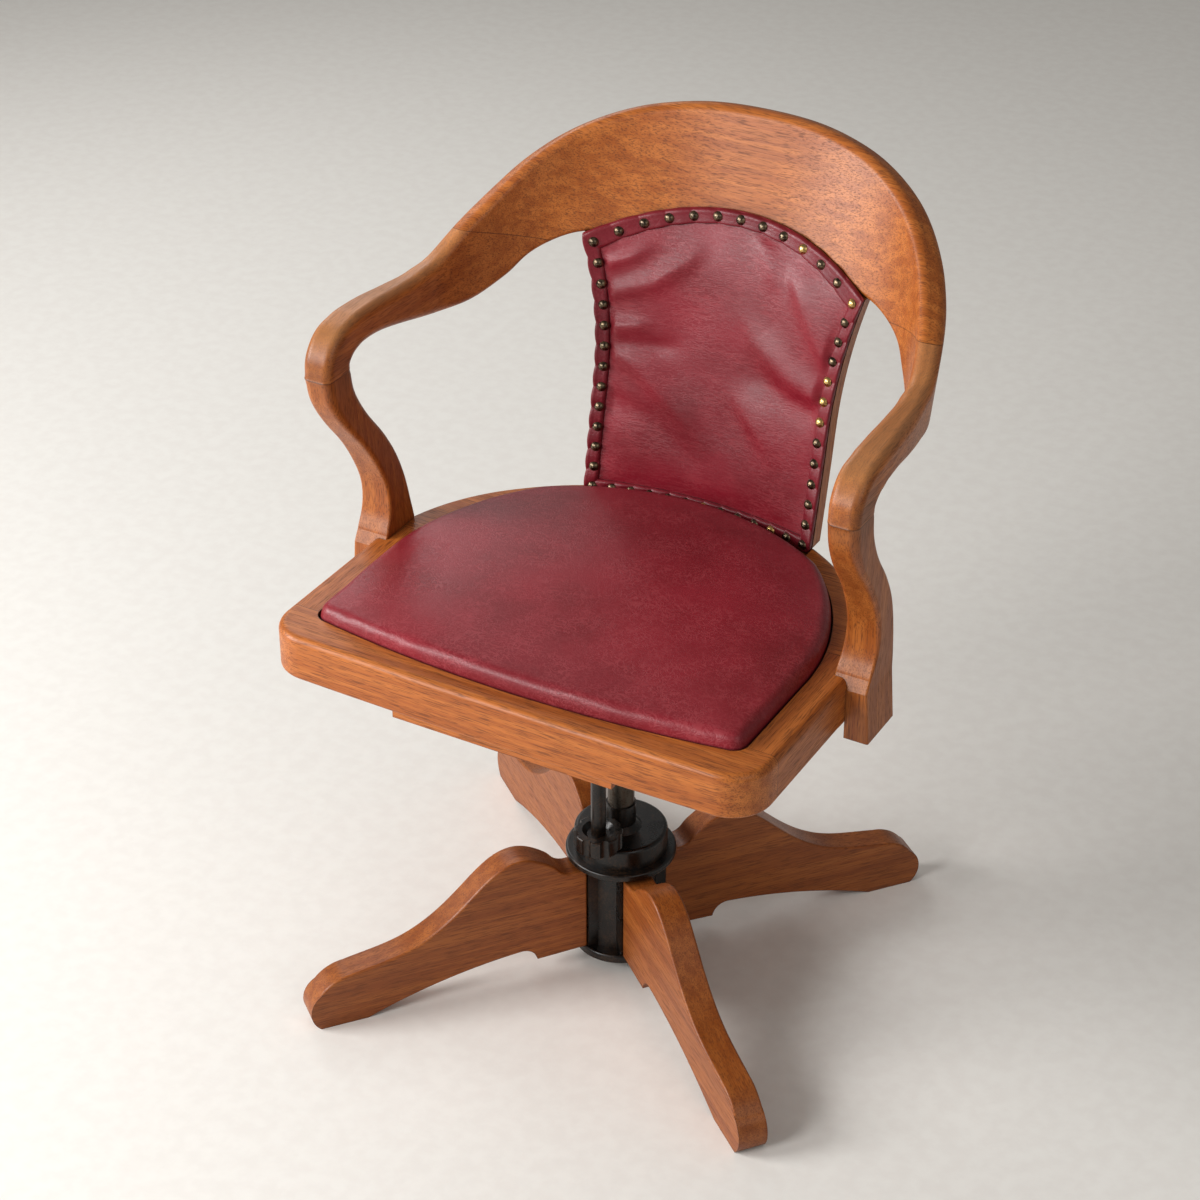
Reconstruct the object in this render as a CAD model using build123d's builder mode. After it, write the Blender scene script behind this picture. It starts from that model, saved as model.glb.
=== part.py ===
"""Oak captain's chair on a revolving, tilting and height-adjusting iron action.

Millimetres, +Z up, the sitter faces -Y. Drawn round the spindle's axis, from the floor up.
The files' origin is on the floor, under the middle of the whole chair.
"""
import os
from math import asin, cos, dist, hypot, pi, radians, sin, sqrt

from build123d import *

os.makedirs("parts", exist_ok=True)

# From the spindle's axis to the middle of the whole chair's box
chair_middle_y = 13.4

# Seat frame
seat_top = 456.0
rail_height = 48.0
seat_half_width = 268.0
seat_front = -239.0
seat_front_bow = 4.0
seat_round_y = -60.0
seat_back = 198.0
seat_turn_x = 190.0
seat_turn_y = 124.0
seat_mid_x = 249.0
seat_mid_y = 45.0
seat_corner_radius = 42.0
rail_top_round = 8.0
rail_bottom_round = 4.0
opening_half_width = 236.0
opening_front = -198.0
opening_front_bow = 21.0
opening_corner_radius = 16.0
opening_back = 167.0
opening_turn_x = 161.0
opening_turn_y = 118.0
opening_mid_x = 215.0
opening_mid_y = 36.0
rebate_depth = 20.0
ledge_width = 14.0
front_joint_y = -188.0
back_joint_y = -8.0
rail_bottom = seat_top - rail_height
ledge_z = seat_top - rebate_depth

# Seat board, panel and cushion
board_half_width = 121.0
board_front = -236.0
board_back = 165.0
board_thickness = 10.0
board_bottom = rail_bottom - board_thickness
panel_thickness = 9.0
panel_gap = 1.5
cushion_gap = 1.2
cushion_crown = 24.0
cushion_dome_radius = 2200.0
cushion_centre_y = -20.0
cushion_edge_round = 9.0

# Bow of crest and arms, each station on the sitter's left side
bow_centre_y = -28.0
bow_thickness = 28.0
crest_low = 721.0
# angle from the back, lower edge, upper edge, front radius at mid height, lean back
crest_stations = [
    (0.0, crest_low, 855.0, 290.5, 18.0),
    (13.0, crest_low, 852.0, 291.0, 19.0),
    (26.0, crest_low, 838.0, 293.0, 20.0),
    (36.0, 719.0, 817.0, 296.0, 18.0),
    (44.0, 703.0, 793.0, 296.0, 12.0),
    (52.0, 675.0, 763.5, 291.0, 8.0),
]
# x, y, lower edge, upper edge, width, lean
arm_stations = [
    (258.5, 118.0, 660.0, 735.0, 25.0, 6.0),
    (266.5, 91.0, 660.0, 718.5, 25.0, 5.0),
    (272.0, 56.0, 665.0, 712.0, 27.0, 4.0),
    (277.0, 17.0, 673.0, 711.5, 31.0, 2.0),
    (280.5, -23.0, 679.0, 713.0, 33.5, 0.0),
]
knuckle_x = 282.0
knuckle_y = -87.25
knuckle_z = 661.0
# outer y and z, inner y and z, width
knuckle_stations = [
    (-57.0, 711.0, -49.0, 677.0, 34.0),
    (-86.0, 703.0, -60.5, 672.5, 34.0),
    (-103.0, 685.0, -65.0, 667.0, 33.0),
    (-109.0, knuckle_z, -65.5, knuckle_z, 32.0),
]
bow_top_radius = 10.0
bow_low_radius = 3.0
arm_low_radius = 9.0
joint_y = 185.0
joint_z = 715.0
joint_slope = 0.34

# Arm posts: height, inner x, outer x, front y, back y, edge radius
post_stations = [
    (knuckle_z, 266.0, 298.0, -109.0, -65.5, 9.0),
    (631.0, 265.0, 297.0, -101.0, -59.0, 8.5),
    (600.0, 262.5, 295.5, -82.0, -43.0, 7.5),
    (572.0, 260.5, 294.5, -60.0, -23.0, 6.5),
    (540.0, 258.5, 293.5, -40.0, -5.5, 5.0),
    (509.0, 256.5, 292.0, -28.0, 5.0, 4.0),
    (480.0, 254.5, 291.0, -29.0, 10.0, 3.0),
    (459.0, 253.0, 290.0, -39.0, 13.0, 2.0),
]
block_shoulder = 447.0
block_front = -46.0
block_back = 13.0
block_bottom = 392.0
block_flare = 4.0
block_inner = 238.0
block_outer = 290.0

# Back splat, pad and banding
splat_low_y = 178.5
splat_lean = 0.2326
splat_low_radius = 453.0
splat_high_radius = 315.0
splat_span_z = 301.0
splat_datum_z = 455.0
splat_thickness = 18.0
splat_shoulder = crest_low + 3.0
splat_level_step = 42.0
tenon_half = 85.0
tenon_low = 432.0
tenon_front = 2.0
tenon_back = 12.0
splat_high_z = 800.0
splat_reach = 190.0
splat_foot_half = 133.0
splat_waist_half = 134.5
splat_waist_z = 575.0
splat_head_half = 159.0
splat_head_z = 725.0
pad_foot_z = 451.0
nail_foot_inset = 6.5
housing_front = 18.0
housing_back = 5.0
housing_gap = 0.4
pad_top_z = 764.0
pad_edge = 4.0
pad_back = 10.0
pad_rise = 9.0
pad_root = 12.0
pad_rise_half = 125.0
band_width = 17.0
band_thickness = 2.0
nail_inset = 8.5
nail_radius = 5.4
nail_height = 3.4
nail_shank_radius = 1.2
nail_shank_length = 9.0
nails_top = 13
nails_side = 11
nails_foot = 11

# Base
base_yaw = 51.0
leg_count = 4
leg_width = 31.0
leg_root = 44.0
leg_tenon_root = 24.0
leg_tenon_width = 14.0
leg_tenon_low = 42.0
leg_tenon_high = 104.0
leg_edge = 2.5
hub_radius = 38.0
hub_low = 24.0
hub_high = 128.6
hub_pad_width = 37.0
hub_pad_high = 122.0
flange_radius = 50.0
flange_low = 15.0
spindle_radius = 14.0
spindle_low = 34.0
spindle_high = 306.0
running_gap = 0.06
collar_low = 129.0
brim_radius = 58.5
brim_high = 137.0
crown_radius = 49.3
crown_high = 162.0
neck_radius = 15.8
neck_high = 192.0

# Tilting action under the seat
spider_boss_radius = 24.0
spider_low = 232.0
spider_cap = 320.0
head_half_x = 30.0
head_half_y = 24.0
pin_z = 342.0
pin_radius = 8.0
pin_half_length = 46.0
head_high = 362.0
rod_y = -48.0
rod_radius = 7.8
rod_neck_radius = 6.0
rod_seat_gap = 0.2
rod_low = 172.0
rod_high = 384.0
lug_low = 262.0
lug_high = 317.7
lug_radius = 15.0
cheek_inner = 31.0
cheek_thickness = 9.0
iron_plate_z = 390.0
iron_plate_half_x = 62.0
iron_plate_front = -130.0
iron_plate_back = 110.0
bar_low = 318.0
bar_high = 328.0
bar_half_y = 18.0
bar_slot_x = 18.6
bar_slot_y = 29.6
nut_low = 366.0
nut_high = 376.0
spring_radius = 17.0
spring_wire = 4.0
spring_turns = 5
wheel_radius = 25.5
wheel_low = 165.0
wheel_high = 186.0
wheel_dish_radius = 17.0
wheel_dish_depth = 5.0
wheel_scallops = 8
wheel_scallop_radius = 5.5
iron_screw_head = 5.5
iron_screw_shank = 2.5

# Fastenings
dowel_radius = 6.0
dowel_length = 46.0
post_screw_y = (-32.0, 2.0)
post_screw_z = 422.0
post_screw_head_x = 214.0
post_screw_head = 4.5
post_screw_head_height = 4.0
post_screw_shank = 2.4
post_screw_length = 68.0
board_screw_x = 105.0
board_screw_y = (-224.0, 158.0)
board_screw_head_height = 2.5
board_screw_length = 34.0
iron_screw_x = 50.0
iron_screw_y = (-118.0, -10.0, 98.0)
iron_screw_head_height = 2.5
iron_screw_length = 20.0


def back_line(z):
    """Middle of the splat face and its sagitta at height z."""
    share = (z - splat_datum_z) / splat_span_z
    middle = splat_low_y + splat_lean * (z - splat_datum_z)
    low_sag = splat_low_radius - sqrt(splat_low_radius**2 - splat_reach**2)
    high_sag = splat_high_radius - sqrt(splat_high_radius**2 - splat_reach**2)
    return middle, low_sag + share * (high_sag - low_sag)


def back_face(x, z):
    """Y of the splat face at x and z."""
    middle, sag = back_line(z)
    radius = (sag**2 + splat_reach**2) / (2 * sag)
    return middle - (radius - sqrt(radius**2 - x**2))


def face_strip(z, front, front_edge, back):
    """Strip in plan along the splat face, from its front depth to its back depth."""
    middle, sag = back_line(z)
    edge = middle - sag
    with BuildSketch(Plane.XY.offset(z)) as strip:
        with BuildLine():
            near = ThreePointArc(
                (-splat_reach, edge - front_edge),
                (0, middle - front),
                (splat_reach, edge - front_edge),
            )
            Line(near @ 1, (splat_reach, edge + back))
            far = ThreePointArc(
                (splat_reach, edge + back),
                (0, middle + back),
                (-splat_reach, edge + back),
            )
            Line(far @ 1, near @ 0)
        make_face()
    return strip.sketch


def side_half(z):
    """Half width of the splat at height z."""
    above = (splat_head_half - splat_waist_half) / (splat_head_z - splat_waist_z) ** 2
    below = (splat_foot_half - splat_waist_half) / (splat_datum_z - splat_waist_z) ** 2
    reach = z - splat_waist_z
    return splat_waist_half + (above if reach > 0 else below) * reach**2


def arch_point(share, inset):
    """Point of the pad's arched top edge, share running from -1 to 1 across it."""
    half = side_half(splat_head_z - inset) - inset
    rise = pad_top_z - splat_head_z
    radius = (half**2 + rise**2) / (2 * rise)
    angle = share * asin(half / radius)
    return radius * sin(angle), pad_top_z - inset - radius * (1 - cos(angle))


def back_outline(inset, low, arched):
    """Outline of the splat or the pad in the XZ plane, drawn in by inset."""
    top = splat_head_z - inset if arched else splat_shoulder
    heights = [low + (top - low) * i / 8 for i in range(9)]
    right = [(side_half(z) - inset, z) for z in heights]
    left = [(-x, z) for x, z in reversed(right)]
    with BuildSketch(Plane.XZ) as outline:
        with BuildLine():
            Line(left[-1], right[0])
            Spline(*right)
            if arched:
                ThreePointArc(right[-1], arch_point(0, inset), left[0])
            else:
                Line(right[-1], left[0])
            Spline(*left)
        make_face()
    return outline.sketch


def halved(rows):
    """Rows of numbers with one more, smoothly placed, in the middle of each span."""
    spans = [dist(a[:3], b[:3]) for a, b in zip(rows, rows[1:])]
    slopes = [[(q - p) / s for p, q in zip(a, b)] for a, b, s in zip(rows, rows[1:], spans)]
    tangents = [slopes[0]]
    for i in range(1, len(spans)):
        share = spans[i - 1] / (spans[i - 1] + spans[i])
        tangents.append([p + (q - p) * share for p, q in zip(slopes[i - 1], slopes[i])])
    tangents.append(slopes[-1])
    made = [rows[0]]
    for i, span in enumerate(spans):
        ends = zip(rows[i], rows[i + 1], tangents[i], tangents[i + 1])
        made.append([(p + q) / 2 + span / 8 * (u - v) for p, q, u, v in ends])
        made.append(rows[i + 1])
    return made


def keep(part, name):
    """Names a finished piece and writes its file, centred on the whole chair."""
    placed = part.moved(Location((0, -chair_middle_y, 0)))
    placed.label = name
    export_step(placed, f"parts/{name}.step")


# Plan of the seat frame and of the opening for the drop-in seat
with BuildSketch() as seat_plan:
    with BuildLine():
        ThreePointArc(
            (-seat_half_width, seat_front),
            (0, seat_front - seat_front_bow),
            (seat_half_width, seat_front),
        )
        Line((seat_half_width, seat_front), (seat_half_width, seat_round_y))
        ThreePointArc(
            (seat_half_width, seat_round_y),
            (seat_mid_x, seat_mid_y),
            (seat_turn_x, seat_turn_y),
        )
        ThreePointArc(
            (seat_turn_x, seat_turn_y),
            (0, seat_back),
            (-seat_turn_x, seat_turn_y),
        )
        ThreePointArc(
            (-seat_turn_x, seat_turn_y),
            (-seat_mid_x, seat_mid_y),
            (-seat_half_width, seat_round_y),
        )
        Line((-seat_half_width, seat_round_y), (-seat_half_width, seat_front))
    make_face()
    fillet(seat_plan.vertices().group_by(Axis.Y)[0], seat_corner_radius)

with BuildSketch() as opening_plan:
    with BuildLine():
        ThreePointArc(
            (-opening_half_width, opening_front),
            (0, opening_front - opening_front_bow),
            (opening_half_width, opening_front),
        )
        Line((opening_half_width, opening_front), (opening_half_width, seat_round_y))
        ThreePointArc(
            (opening_half_width, seat_round_y),
            (opening_mid_x, opening_mid_y),
            (opening_turn_x, opening_turn_y),
        )
        ThreePointArc(
            (opening_turn_x, opening_turn_y),
            (0, opening_back),
            (-opening_turn_x, opening_turn_y),
        )
        ThreePointArc(
            (-opening_turn_x, opening_turn_y),
            (-opening_mid_x, opening_mid_y),
            (-opening_half_width, seat_round_y),
        )
        Line((-opening_half_width, seat_round_y), (-opening_half_width, opening_front))
    make_face()
    fillet(opening_plan.vertices().group_by(Axis.Y)[0], opening_corner_radius)

# Seat frame before it is cut into rails
with BuildPart() as seat_blank:
    with BuildSketch(Plane.XY.offset(rail_bottom)):
        add(seat_plan.sketch)
    extrude(amount=rail_height)
    fillet(seat_blank.faces().sort_by(Axis.Z)[-1].edges(), rail_top_round)
    fillet(seat_blank.faces().sort_by(Axis.Z)[0].edges(), rail_bottom_round)

with BuildPart() as seat_frame:
    add(seat_blank.part)
    with BuildSketch(Plane.XY.offset(ledge_z)):
        add(opening_plan.sketch)
    extrude(amount=rebate_depth + 1, mode=Mode.SUBTRACT)
    with BuildSketch(Plane.XY.offset(rail_bottom - 1)):
        offset(opening_plan.sketch, amount=-ledge_width)
    extrude(amount=rail_height, mode=Mode.SUBTRACT)

# Stations of the bow, from the back to the left knuckle: middle, outward, along, size
bow_sections = []
for angle, low, high, front_radius, lean in crest_stations:
    a = radians(angle)
    k = radians(lean)
    reach = front_radius + bow_thickness / 2
    outward = (sin(a) * cos(k), cos(a) * cos(k), -sin(k))
    middle = (reach * sin(a), bow_centre_y + reach * cos(a), (low + high) / 2)
    low_radius = bow_low_radius + (arm_low_radius - bow_low_radius) * (angle / 60) ** 3
    size = (bow_thickness, (high - low) / cos(k), bow_top_radius, low_radius)
    bow_sections.append((*middle, *outward, cos(a), -sin(a), 0, *size))
for i, (x, y, low, high, width, lean) in enumerate(arm_stations):
    before = bow_sections[-1]
    after = arm_stations[min(i + 1, len(arm_stations) - 1)]
    along = Vector(after[0] - before[0], after[1] - before[1], 0).normalized()
    k = radians(lean)
    outward = (-along.Y * cos(k), along.X * cos(k), -sin(k))
    size = (width, (high - low) / cos(k), bow_top_radius, arm_low_radius)
    bow_sections.append((x, y, (low + high) / 2, *outward, along.X, along.Y, 0, *size))
for outer_y, outer_z, inner_y, inner_z, width in knuckle_stations:
    height = hypot(outer_y - inner_y, outer_z - inner_z)
    along_y = (inner_z - outer_z) / height
    along_z = (outer_y - inner_y) / height
    middle = (knuckle_x, (outer_y + inner_y) / 2, (outer_z + inner_z) / 2)
    size = (width, height, arm_low_radius, arm_low_radius)
    bow_sections.append((*middle, 1, 0, 0, 0, along_y, along_z, *size))
mirrored = (-1, 1, 1, -1, 1, 1, 1, -1, -1, 1, 1, 1, 1)
other_side = [[m * v for m, v in zip(mirrored, row)] for row in reversed(bow_sections[1:])]

# Crest and arms as one swept bow
with BuildPart() as bow:
    for row in halved(other_side + bow_sections):
        width, height, top_radius, low_radius = row[9:]
        with BuildSketch(Plane(origin=row[:3], x_dir=row[3:6], z_dir=row[6:9])) as section:
            Rectangle(width, height)
            fillet(section.vertices().group_by(Axis.Y)[-1], top_radius)
            fillet(section.vertices().group_by(Axis.Y)[0], low_radius)
    loft()

scarf = Plane(
    origin=(0, joint_y, joint_z),
    x_dir=(1, 0, 0),
    z_dir=Vector(0, joint_slope, 1).normalized(),
)

with BuildPart() as crest_blank:
    add(bow.part)
    split(bisect_by=scarf, keep=Keep.TOP)

with BuildPart() as arm_pair:
    add(bow.part)
    split(bisect_by=scarf, keep=Keep.BOTTOM)

# Heights at which the back is drawn
level_count = int((splat_high_z - tenon_low) / splat_level_step) + 1
levels = [tenon_low - 2 + i * splat_level_step for i in range(level_count + 1)]

# Back splat with its foot tenon
with BuildPart() as splat_blank:
    for z in levels:
        add(face_strip(z, 0, 0, splat_thickness))
    loft()
    extrude(back_outline(0, seat_top, False), amount=600, both=True, mode=Mode.INTERSECT)

with BuildPart() as splat_tenon:
    for z in levels[:3]:
        add(face_strip(z, -tenon_front, -tenon_front, tenon_back))
    loft()
    with Locations((0, seat_back, (tenon_low + seat_top + 2) / 2)):
        Box(2 * tenon_half, 200, seat_top + 2 - tenon_low, mode=Mode.INTERSECT)

# Shallow notch in the back rail for the foot of the pad
with BuildPart() as foot_housing:
    for z in levels[:3]:
        add(face_strip(z, housing_front, housing_front, housing_back))
    loft()
    housing_low = pad_foot_z - housing_gap
    with Locations((0, splat_low_y, housing_low)):
        Box(
            2 * (splat_foot_half + housing_gap),
            200,
            seat_top + 2 - housing_low,
            align=(Align.CENTER, Align.CENTER, Align.MIN),
            mode=Mode.INTERSECT,
        )

# Where each nail stands on the banding
nail_spots = [arch_point(-1 + 2 * i / (nails_top - 1), nail_inset) for i in range(nails_top)]
nail_high = nail_spots[0][1]
nail_low = pad_foot_z + nail_foot_inset
for i in range(nails_side):
    z = nail_high + (nail_low - nail_high) * (i + 1) / (nails_side + 1)
    nail_spots.append((side_half(z) - nail_inset, z))
    nail_spots.append((nail_inset - side_half(z), z))
for i in range(nails_foot + 2):
    half = side_half(nail_low) - nail_inset
    nail_spots.append((half * (-1 + 2 * i / (nails_foot + 1)), nail_low))

nail_planes = []
for x, z in nail_spots:
    slope_x = (back_face(x + 1, z) - back_face(x - 1, z)) / 2
    slope_z = (back_face(x, z + 1) - back_face(x, z - 1)) / 2
    facing = Vector(slope_x, -1, slope_z).normalized()
    spot = Vector(x, back_face(x, z), z) + facing * (pad_edge + band_thickness + 0.12)
    nail_planes.append(Plane(origin=spot, x_dir=(1, slope_x, 0), z_dir=facing))

with BuildPart() as nail_shanks:
    with Locations(*nail_planes):
        Cylinder(
            nail_shank_radius,
            nail_shank_length,
            align=(Align.CENTER, Align.CENTER, Align.MAX),
        )

# One nail, then all of them
dome_radius = (nail_radius**2 + nail_height**2) / (2 * nail_height)
dome_half = asin(nail_radius / dome_radius) / 2
with BuildPart() as nail:
    with BuildSketch(Plane.XZ):
        with BuildLine():
            Line((0, 0), (nail_radius, 0))
            ThreePointArc(
                (nail_radius, 0),
                (dome_radius * sin(dome_half), nail_height - dome_radius * (1 - cos(dome_half))),
                (0, nail_height),
            )
            Line((0, nail_height), (0, 0))
        make_face()
    revolve(axis=Axis.Z)
    Cylinder(
        nail_shank_radius,
        nail_shank_length,
        align=(Align.CENTER, Align.CENTER, Align.MAX),
    )

with BuildPart() as dome_nails:
    with Locations(*nail_planes):
        add(nail.part)
keep(dome_nails.part, "dome_nails")

# Crest rail, with a shallow rebate for the pad and holes for the nails
with BuildPart() as pad_room:
    for z in levels:
        add(face_strip(z, housing_front, housing_front, 0))
    loft()
    extrude(back_outline(0, pad_foot_z, True), amount=600, both=True, mode=Mode.INTERSECT)

with BuildPart() as crest_rail:
    add(crest_blank.part)
    add(pad_room.part, mode=Mode.SUBTRACT)
    add(nail_shanks.part, mode=Mode.SUBTRACT)
keep(crest_rail.part, "crest_rail")

with BuildPart() as back_splat:
    add(splat_blank.part)
    add(crest_blank.part, mode=Mode.SUBTRACT)
    add(splat_tenon.part)
    add(nail_shanks.part, mode=Mode.SUBTRACT)
keep(back_splat.part, "back_splat")

# Padded leather back, a thin edge and a crowned middle
with BuildPart() as pad_slab:
    for z in levels:
        add(face_strip(z, pad_edge, pad_edge, pad_back))
    loft()
    extrude(back_outline(0, pad_foot_z, True), amount=600, both=True, mode=Mode.INTERSECT)
    add(pad_room.part, mode=Mode.INTERSECT)

crown_low = pad_foot_z + band_width
crown_high_z = pad_top_z - band_width
crown_count = 9
with BuildPart() as pad_crown:
    for i in range(crown_count):
        z = crown_low + (crown_high_z - crown_low) * i / (crown_count - 1)
        rise = pad_rise * sin(pi * i / (crown_count - 1)) ** 0.6 + 0.4
        edge_rise = rise * (1 - (splat_reach / pad_rise_half) ** 2)
        add(face_strip(z, pad_edge + rise, pad_edge + edge_rise, pad_root))
    loft()
    extrude(back_outline(band_width, crown_low, True), amount=600, both=True, mode=Mode.INTERSECT)

with BuildPart() as back_pad:
    add(pad_slab.part)
    add(pad_crown.part)
    add(splat_blank.part, mode=Mode.SUBTRACT)
    add(crest_rail.part, mode=Mode.SUBTRACT)
    add(dome_nails.part, mode=Mode.SUBTRACT)
keep(back_pad.part, "back_pad")

# Leather banding under the nails
with BuildPart() as band_blank:
    for z in levels:
        add(face_strip(z, pad_edge + band_thickness, pad_edge + band_thickness, -pad_edge))
    loft()
    extrude(back_outline(0, pad_foot_z, True), amount=600, both=True, mode=Mode.INTERSECT)
    extrude(
        back_outline(band_width, pad_foot_z + band_width, True),
        amount=600,
        both=True,
        mode=Mode.SUBTRACT,
    )

with BuildPart() as back_banding:
    add(band_blank.part)
    add(pad_crown.part, mode=Mode.SUBTRACT)
    add(dome_nails.part, mode=Mode.SUBTRACT)
keep(back_banding.part, "back_banding")

# Dowels between arms and posts
with BuildPart() as knuckle_dowels:
    with Locations((knuckle_x, knuckle_y, knuckle_z), (-knuckle_x, knuckle_y, knuckle_z)):
        Cylinder(dowel_radius, dowel_length)
keep(knuckle_dowels.part, "knuckle_dowels")

arm_solids = arm_pair.part.solids().sort_by(Axis.X)
for solid, name in ((arm_solids[0], "arm_right"), (arm_solids[-1], "arm_left")):
    with BuildPart() as arm:
        add(solid)
        split(bisect_by=Plane.XY.offset(knuckle_z), keep=Keep.TOP)
        add(knuckle_dowels.part, mode=Mode.SUBTRACT)
    keep(arm.part, name)

# Screws that hold each post to its side rail
with BuildPart() as post_screws:
    for side in (-1, 1):
        for y in post_screw_y:
            with Locations(Plane(origin=(side * post_screw_head_x, y, post_screw_z), z_dir=(side, 0, 0))):
                Cylinder(
                    post_screw_shank,
                    post_screw_length,
                    align=(Align.CENTER, Align.CENTER, Align.MIN),
                )
                Cylinder(
                    post_screw_head,
                    post_screw_head_height,
                    align=(Align.CENTER, Align.CENTER, Align.MIN),
                )
keep(post_screws.part, "post_screws")

# Arm posts, notched over the seat frame
with BuildPart() as seat_shadow:
    add(seat_blank.part)
    with BuildSketch(Plane.XY.offset(block_bottom - 10)):
        add(seat_plan.sketch)
    extrude(amount=rail_bottom + rail_bottom_round - block_bottom + 10)

with BuildPart() as post_blank:
    for z, inner, outer, front, back, edge in halved(post_stations):
        with BuildSketch(Plane.XY.offset(z)):
            with Locations(((inner + outer) / 2, (front + back) / 2)):
                RectangleRounded(outer - inner, back - front, edge)
    loft()
    foot_z, foot_inner, foot_outer, foot_front, foot_back, foot_edge = post_stations[-1]
    with BuildSketch(Plane.XY.offset(foot_z)):
        with Locations(((foot_inner + foot_outer) / 2, (foot_front + foot_back) / 2)):
            RectangleRounded(foot_outer - foot_inner, foot_back - foot_front, foot_edge)
    with BuildSketch(Plane.XY.offset(block_shoulder)):
        with Locations(((foot_inner + block_outer) / 2, (block_front + block_back) / 2)):
            RectangleRounded(block_outer - foot_inner, block_back - block_front, foot_edge)
    loft(ruled=True)
    for z, flare in ((block_shoulder, 0), (block_bottom, block_flare)):
        with BuildSketch(Plane.XY.offset(z)):
            with Locations(((block_inner + block_outer + flare) / 2, (block_front + block_back) / 2)):
                RectangleRounded(block_outer + flare - block_inner, block_back - block_front, foot_edge)
    loft(ruled=True)
    with BuildSketch(Plane.XY.offset(block_shoulder)):
        with Locations(((block_inner + foot_inner + 2) / 2, (foot_front + foot_back) / 2)):
            Rectangle(foot_inner + 2 - block_inner, foot_back - foot_front - 2 * foot_edge)
    extrude(amount=seat_top - block_shoulder)
    add(seat_shadow.part, mode=Mode.SUBTRACT)

with BuildPart() as post_left:
    add(post_blank.part)
    add(knuckle_dowels.part, mode=Mode.SUBTRACT)
    add(post_screws.part, mode=Mode.SUBTRACT)
keep(post_left.part, "post_left")

with BuildPart() as post_right:
    mirror(post_blank.part, about=Plane.YZ)
    add(knuckle_dowels.part, mode=Mode.SUBTRACT)
    add(post_screws.part, mode=Mode.SUBTRACT)
keep(post_right.part, "post_right")

# Board under the seat frame and the screws that hold it
with BuildPart() as board_screws:
    for x in (-board_screw_x, board_screw_x):
        for y in board_screw_y:
            with Locations((x, y, board_bottom - board_screw_head_height)):
                Cylinder(
                    iron_screw_head,
                    board_screw_head_height,
                    align=(Align.CENTER, Align.CENTER, Align.MIN),
                )
                Cylinder(
                    iron_screw_shank,
                    board_screw_length,
                    align=(Align.CENTER, Align.CENTER, Align.MIN),
                )
keep(board_screws.part, "board_screws")

with BuildPart() as iron_screws:
    for x in (-iron_screw_x, iron_screw_x):
        for y in iron_screw_y:
            with Locations((x, y, iron_plate_z - iron_screw_head_height)):
                Cylinder(
                    iron_screw_head,
                    iron_screw_head_height,
                    align=(Align.CENTER, Align.CENTER, Align.MIN),
                )
                Cylinder(
                    iron_screw_shank,
                    iron_screw_length,
                    align=(Align.CENTER, Align.CENTER, Align.MIN),
                )
keep(iron_screws.part, "iron_screws")

with BuildPart() as seat_board:
    with BuildSketch(Plane.XY.offset(board_bottom)):
        with Locations((0, (board_front + board_back) / 2)):
            Rectangle(2 * board_half_width, board_back - board_front)
    extrude(amount=board_thickness)
    add(board_screws.part, mode=Mode.SUBTRACT)
    add(iron_screws.part, mode=Mode.SUBTRACT)
keep(seat_board.part, "seat_board")

# Rails, cut from the frame at the front and side joints
front_joint = Plane.XZ.offset(-front_joint_y)
back_joint = Plane.XZ.offset(-back_joint_y)

with BuildPart() as front_rail:
    add(seat_frame.part)
    split(bisect_by=front_joint, keep=Keep.TOP)
    add(board_screws.part, mode=Mode.SUBTRACT)
keep(front_rail.part, "front_rail")

with BuildPart() as side_rails:
    add(seat_frame.part)
    split(bisect_by=front_joint, keep=Keep.BOTTOM)
    split(bisect_by=back_joint, keep=Keep.TOP)
    add(post_screws.part, mode=Mode.SUBTRACT)

rail_solids = side_rails.part.solids().sort_by(Axis.X)
for solid, name in ((rail_solids[0], "side_rail_right"), (rail_solids[-1], "side_rail_left")):
    with BuildPart() as rail:
        add(solid)
    keep(rail.part, name)

with BuildPart() as back_rail:
    add(seat_frame.part)
    split(bisect_by=back_joint, keep=Keep.BOTTOM)
    add(splat_tenon.part, mode=Mode.SUBTRACT)
    add(foot_housing.part, mode=Mode.SUBTRACT)
    add(post_screws.part, mode=Mode.SUBTRACT)
    add(board_screws.part, mode=Mode.SUBTRACT)
keep(back_rail.part, "back_rail")

# Drop-in seat
with BuildPart() as seat_panel:
    with BuildSketch(Plane.XY.offset(ledge_z)):
        offset(opening_plan.sketch, amount=-panel_gap)
    extrude(amount=panel_thickness)
keep(seat_panel.part, "seat_panel")

cushion_low = ledge_z + panel_thickness
with BuildPart() as seat_cushion:
    with BuildSketch(Plane.XY.offset(cushion_low)):
        offset(opening_plan.sketch, amount=-cushion_gap)
    extrude(amount=60)
    with Locations((0, cushion_centre_y, seat_top + cushion_crown - cushion_dome_radius)):
        Sphere(cushion_dome_radius, mode=Mode.INTERSECT)
    fillet(seat_cushion.faces().sort_by(Axis.Z)[-1].edges(), cushion_edge_round)
keep(seat_cushion.part, "seat_cushion")

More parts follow.
